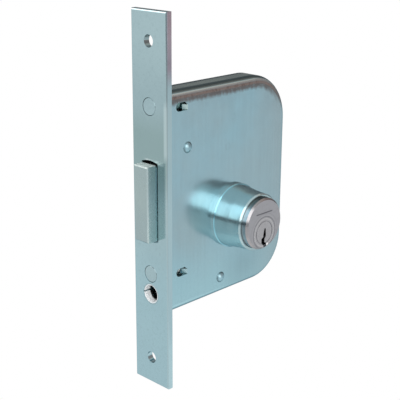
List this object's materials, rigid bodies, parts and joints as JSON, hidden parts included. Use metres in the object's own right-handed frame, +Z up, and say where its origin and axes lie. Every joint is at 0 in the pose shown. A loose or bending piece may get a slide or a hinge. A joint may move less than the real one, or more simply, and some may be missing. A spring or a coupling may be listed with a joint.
{
  "type": "gate mortise lock",
  "caption": "Mortise deadlock for a gate: long plated forend, closed rounded case, square-edged sliding bolt, and a pin cylinder with an off-centre plug in a tapered guard sleeve.",
  "frame": {"origin": "centre of the forend's front face, midway between its screw holes", "axes": "+X back into the gate, +Z up along the forend, -Y towards the side where the key goes in"},
  "size_m": [0.0912, 0.0372, 0.174],
  "materials": {
    "plated_sheet": "bright blue zinc plating, semi-gloss",
    "plated_fasteners": "bright blue zinc plating, semi-gloss",
    "plated_bolt": "bright zinc plating, ground faces",
    "plated_sleeve": "bright blue zinc plating, turned",
    "nickel_plated_brass": "satin nickel plating",
    "pin_brass": "turned, plain",
    "bare_steel": "plain steel, lightly oiled",
    "spring_steel": "spring steel, plain"
  },
  "bodies": {
    "case": {"forend": "plated_sheet", "forend_studs": "plated_fasteners", "front_bush": "plated_fasteners", "case_tray": "plated_sheet", "case_cover": "plated_sheet", "case_rivets": "plated_fasteners", "guide_post": "plated_fasteners", "spacer_posts": "plated_fasteners", "brake_spring": "spring_steel", "guard_sleeve": "plated_sleeve", "cylinder_body": "nickel_plated_brass", "cylinder_screws": "plated_fasteners", "chamber_strip": "pin_brass", "driver_pins": "pin_brass", "pin_springs": "spring_steel"},
    "plug": {"cylinder_plug": "nickel_plated_brass", "key_pins": "pin_brass", "plug_clip": "spring_steel", "drive_pinion": "bare_steel", "pinion_screw": "bare_steel"},
    "bolt": {"bolt_head": "plated_bolt", "bolt_tail": "bare_steel", "bolt_rivets": "bare_steel"}
  },
  "joints": [
    {"name": "plug_turn", "type": "hinge", "parent": "case", "child": "plug", "pos_m": [0.048, 0, -0.0173], "axis": [0, -1, 0], "range_deg": [0, 360]},
    {"name": "bolt_slide", "type": "slide", "parent": "case", "child": "bolt", "axis": [-1, 0, 0], "range_m": [0, 0.02513]}
  ],
  "couplings": [
    {"joint": "plug_turn", "follows": "bolt_slide", "rad_per_m": 250}
  ]
}
